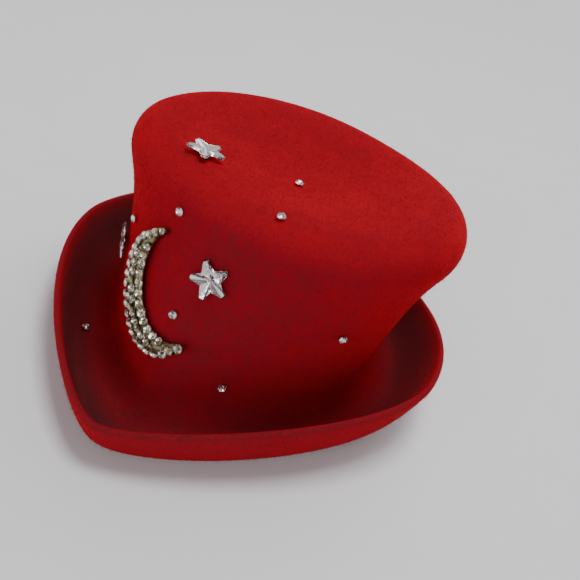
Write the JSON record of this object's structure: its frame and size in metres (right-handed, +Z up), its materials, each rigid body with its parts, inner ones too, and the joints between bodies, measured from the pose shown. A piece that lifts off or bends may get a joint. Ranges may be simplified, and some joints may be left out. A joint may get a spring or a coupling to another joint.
{
  "type": "mini top hat",
  "caption": "Small felt top hat with a flared crown, a pointed curled brim, a stone-set crescent brooch and glued crystal stars and stones.",
  "frame": {"origin": "on the surface that the hat stands on, under the middle of the brim's length and width", "axes": "+Z up along the crown, -Y towards the pointed front, +X towards the wearer's left"},
  "size_m": [0.1555, 0.1806, 0.084],
  "materials": {
    "felt": "red velour felt with a short dense nap",
    "silver_setting": "warm silver setting covered with small cut stones",
    "crystal": "clear cut crystal with a silvered back"
  },
  "bodies": {
    "root": {"felt_body": "felt", "moon_brooch": "silver_setting", "star_front": "crystal", "star_top": "crystal", "star_side": "crystal", "stone_lip": "crystal", "stone_in_moon": "crystal", "stone_left": "crystal", "stone_foot": "crystal", "stone_right": "crystal", "stone_top_middle": "crystal", "stone_top_front": "crystal", "stone_brim": "crystal"}
  },
  "joints": []
}
